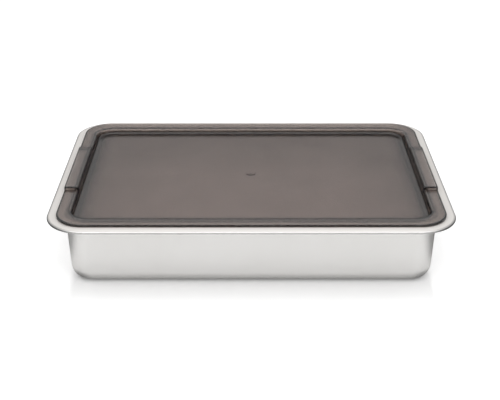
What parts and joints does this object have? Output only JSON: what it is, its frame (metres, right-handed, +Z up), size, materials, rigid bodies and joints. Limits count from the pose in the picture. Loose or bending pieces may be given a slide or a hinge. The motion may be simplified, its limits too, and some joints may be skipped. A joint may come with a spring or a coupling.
{
  "type": "marinade pan",
  "caption": "Shallow rectangular steel pan with a flat rolled rim, covered by a smoked plastic lid with a sunken panel and raised end grips that lifts straight off.",
  "frame": {"origin": "middle of the pan's footprint, on the surface that it stands on", "axes": "+X along the long side, to the right in the picture; +Y to the back; +Z up"},
  "size_m": [0.3556, 0.254, 0.0655],
  "materials": {
    "satin_steel": "satin drawn stainless steel",
    "smoked_plastic": "satin smoked translucent plastic"
  },
  "bodies": {
    "pan": {"pan": "satin_steel"},
    "lid": {"lid": "smoked_plastic"}
  },
  "joints": [
    {"name": "lid_lift", "type": "slide", "parent": "pan", "child": "lid", "axis": [0, 0, 1], "range_m": [0, 0.08]}
  ]
}
